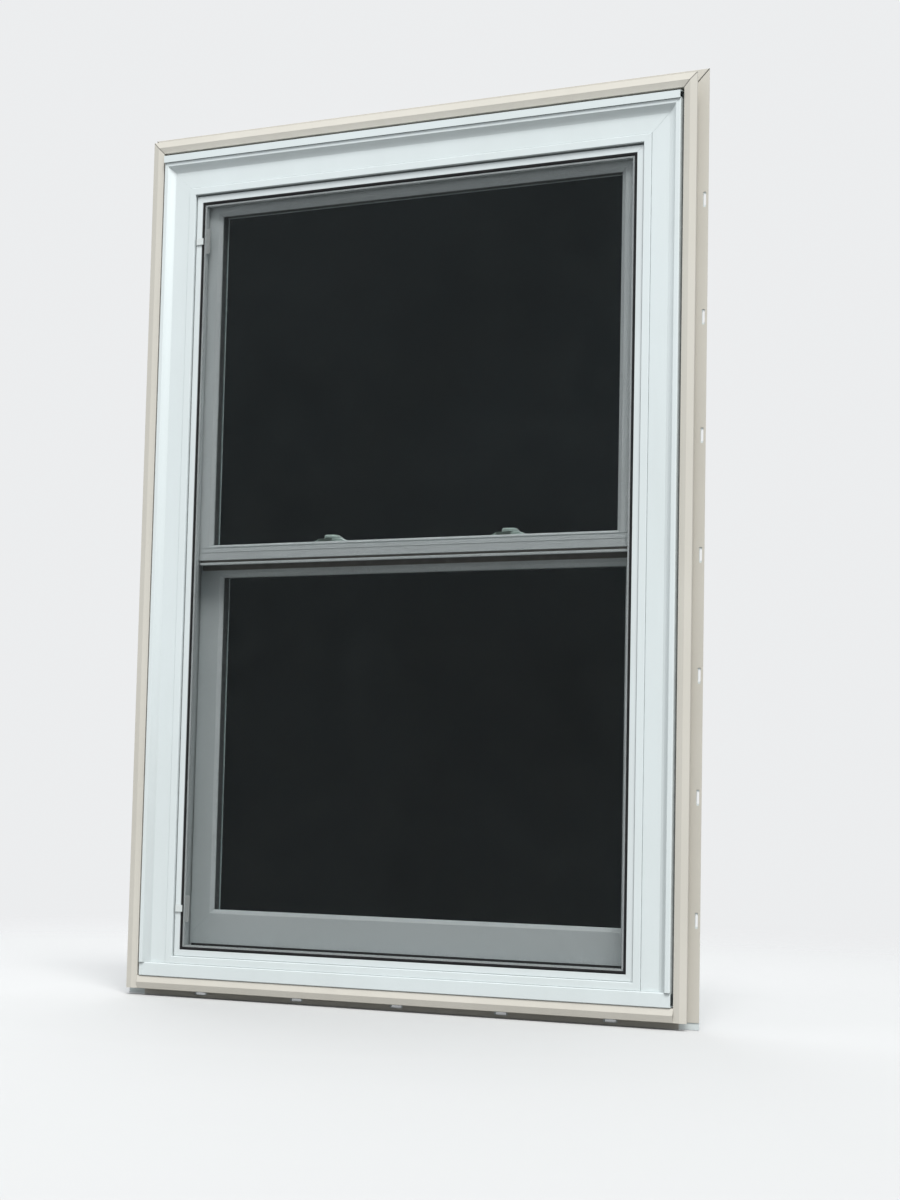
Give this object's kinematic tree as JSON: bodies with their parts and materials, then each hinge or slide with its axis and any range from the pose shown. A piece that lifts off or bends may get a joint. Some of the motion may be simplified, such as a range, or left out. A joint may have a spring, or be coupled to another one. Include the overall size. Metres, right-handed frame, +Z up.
{
  "type": "sash window",
  "caption": "White vinyl sash window with sliding sashes, insect screen, moulded casing, cap and siding channel.",
  "frame": {"origin": "centre of the corner nail slots at the head and sill, at the back of the nailing fin", "axes": "+Z up, +Y from outdoors into the room, +X to the right seen from outdoors"},
  "size_m": [1.111, 0.1165, 1.601],
  "materials": {
    "vinyl_white": "smooth white extruded vinyl",
    "vinyl_beige": "smooth beige vinyl",
    "screen_white": "white enamelled roll-formed aluminium",
    "key": "moulded",
    "mesh": "charcoal woven cloth",
    "spline": "black cord",
    "moulding": "moulded nylon",
    "plunger": "moulded white nylon",
    "glass": "clear insulating glass",
    "spacer": "dull spacer bar",
    "hardware": "white coated die casting",
    "steel": "spring steel",
    "seal": "grey bulb seal"
  },
  "bodies": {
    "frame": {"frame_head": "vinyl_white", "frame_sill": "vinyl_white", "frame_jamb_left": "vinyl_white", "frame_jamb_right": "vinyl_white", "brickmould_head": "vinyl_white", "brickmould_left": "vinyl_white", "brickmould_right": "vinyl_white", "sill_nose": "vinyl_white", "drip_cap": "vinyl_white", "j_channel_head": "vinyl_beige", "j_channel_sill": "vinyl_beige", "j_channel_left": "vinyl_beige", "j_channel_right": "vinyl_beige", "screen_rail_head": "screen_white", "screen_rail_sill": "screen_white", "screen_stile_left": "screen_white", "screen_stile_right": "screen_white", "screen_corner_keys": "key", "screen_mesh": "mesh", "screen_spline": "spline", "balance_carriers": "moulding"},
    "screen_plunger_lower": {"screen_plunger_lower": "plunger"},
    "screen_plunger_upper": {"screen_plunger_upper": "plunger"},
    "upper_sash": {"upper_sash_top_rail": "vinyl_white", "upper_sash_meeting_rail": "vinyl_white", "upper_sash_stile_left": "vinyl_white", "upper_sash_stile_right": "vinyl_white", "upper_outer_pane": "glass", "upper_inner_pane": "glass", "upper_spacer": "spacer", "upper_glazing_beads": "vinyl_white", "upper_interlock": "vinyl_white", "lock_keepers": "hardware", "upper_pivot_bars": "steel", "upper_balance_shoes": "moulding", "upper_balance_tapes": "steel"},
    "upper_tilt_latch_left": {"upper_tilt_latch_left": "moulding"},
    "upper_tilt_latch_right": {"upper_tilt_latch_right": "moulding"},
    "lower_sash": {"lower_sash_meeting_rail": "vinyl_white", "lower_sash_bottom_rail": "vinyl_white", "lower_sash_stile_left": "vinyl_white", "lower_sash_stile_right": "vinyl_white", "lower_outer_pane": "glass", "lower_inner_pane": "glass", "lower_spacer": "spacer", "lower_glazing_beads": "vinyl_white", "lower_interlock": "vinyl_white", "lower_sill_seal": "seal", "lock_bases": "hardware", "lower_pivot_bars": "steel", "lower_balance_shoes": "moulding", "lower_balance_tapes": "steel"},
    "lower_tilt_latch_left": {"lower_tilt_latch_left": "moulding"},
    "lower_tilt_latch_right": {"lower_tilt_latch_right": "moulding"},
    "lock_cam_left": {"lock_cam_left": "hardware"},
    "lock_cam_right": {"lock_cam_right": "hardware"},
    "lower_balance_coil_left": {"lower_balance_coil_left": "steel"},
    "lower_balance_coil_right": {"lower_balance_coil_right": "steel"},
    "upper_balance_coil_left": {"upper_balance_coil_left": "steel"},
    "upper_balance_coil_right": {"upper_balance_coil_right": "steel"}
  },
  "joints": [
    {"name": "lower_sash_slide", "type": "slide", "parent": "frame", "child": "lower_sash", "axis": [0, 0, 1], "range_m": [0, 0.56], "deforming": ["lower_balance_tapes"]},
    {"name": "upper_sash_slide", "type": "slide", "parent": "frame", "child": "upper_sash", "axis": [0, 0, -1], "range_m": [0, 0.56], "deforming": ["upper_balance_tapes"]},
    {"name": "lower_tilt_latch_left_slide", "type": "slide", "parent": "lower_sash", "child": "lower_tilt_latch_left", "axis": [1, 0, 0], "range_m": [0, 0.012], "stiffness_N_per_m": 200, "springref_m": -0.01},
    {"name": "lower_tilt_latch_right_slide", "type": "slide", "parent": "lower_sash", "child": "lower_tilt_latch_right", "axis": [-1, 0, 0], "range_m": [0, 0.012], "stiffness_N_per_m": 200, "springref_m": -0.01},
    {"name": "upper_tilt_latch_left_slide", "type": "slide", "parent": "upper_sash", "child": "upper_tilt_latch_left", "axis": [1, 0, 0], "range_m": [0, 0.012], "stiffness_N_per_m": 200, "springref_m": -0.01},
    {"name": "upper_tilt_latch_right_slide", "type": "slide", "parent": "upper_sash", "child": "upper_tilt_latch_right", "axis": [-1, 0, 0], "range_m": [0, 0.012], "stiffness_N_per_m": 200, "springref_m": -0.01},
    {"name": "lock_cam_left_turn", "type": "hinge", "parent": "lower_sash", "child": "lock_cam_left", "pos_m": [-0.178, 0.046, 0.024], "axis": [0, 0, -1], "range_deg": [0, 90]},
    {"name": "lock_cam_right_turn", "type": "hinge", "parent": "lower_sash", "child": "lock_cam_right", "pos_m": [0.178, 0.046, 0.024], "axis": [0, 0, -1], "range_deg": [0, 90]},
    {"name": "screen_plunger_lower_slide", "type": "slide", "parent": "frame", "child": "screen_plunger_lower", "axis": [1, 0, 0], "range_m": [0, 0.005], "stiffness_N_per_m": 300, "springref_m": -0.004},
    {"name": "screen_plunger_upper_slide", "type": "slide", "parent": "frame", "child": "screen_plunger_upper", "axis": [1, 0, 0], "range_m": [0, 0.005], "stiffness_N_per_m": 300, "springref_m": -0.004},
    {"name": "lower_balance_coil_left_turn", "type": "hinge", "parent": "frame", "child": "lower_balance_coil_left", "pos_m": [-0.4693, 0.051, 0.036], "axis": [0, 1, 0], "range_deg": [0, 4020]},
    {"name": "lower_balance_coil_right_turn", "type": "hinge", "parent": "frame", "child": "lower_balance_coil_right", "pos_m": [0.4693, 0.051, 0.036], "axis": [0, -1, 0], "range_deg": [0, 4020]},
    {"name": "upper_balance_coil_left_turn", "type": "hinge", "parent": "frame", "child": "upper_balance_coil_left", "pos_m": [-0.4693, 0.011, 0.076], "axis": [0, -1, 0], "range_deg": [0, 4020]},
    {"name": "upper_balance_coil_right_turn", "type": "hinge", "parent": "frame", "child": "upper_balance_coil_right", "pos_m": [0.4693, 0.011, 0.076], "axis": [0, 1, 0], "range_deg": [0, 4020]}
  ],
  "couplings": [
    {"joint": "lower_balance_coil_left_turn", "follows": "lower_sash_slide", "rad_per_m": 125},
    {"joint": "lower_balance_coil_right_turn", "follows": "lower_sash_slide", "rad_per_m": 125},
    {"joint": "upper_balance_coil_left_turn", "follows": "upper_sash_slide", "rad_per_m": 125},
    {"joint": "upper_balance_coil_right_turn", "follows": "upper_sash_slide", "rad_per_m": 125}
  ]
}
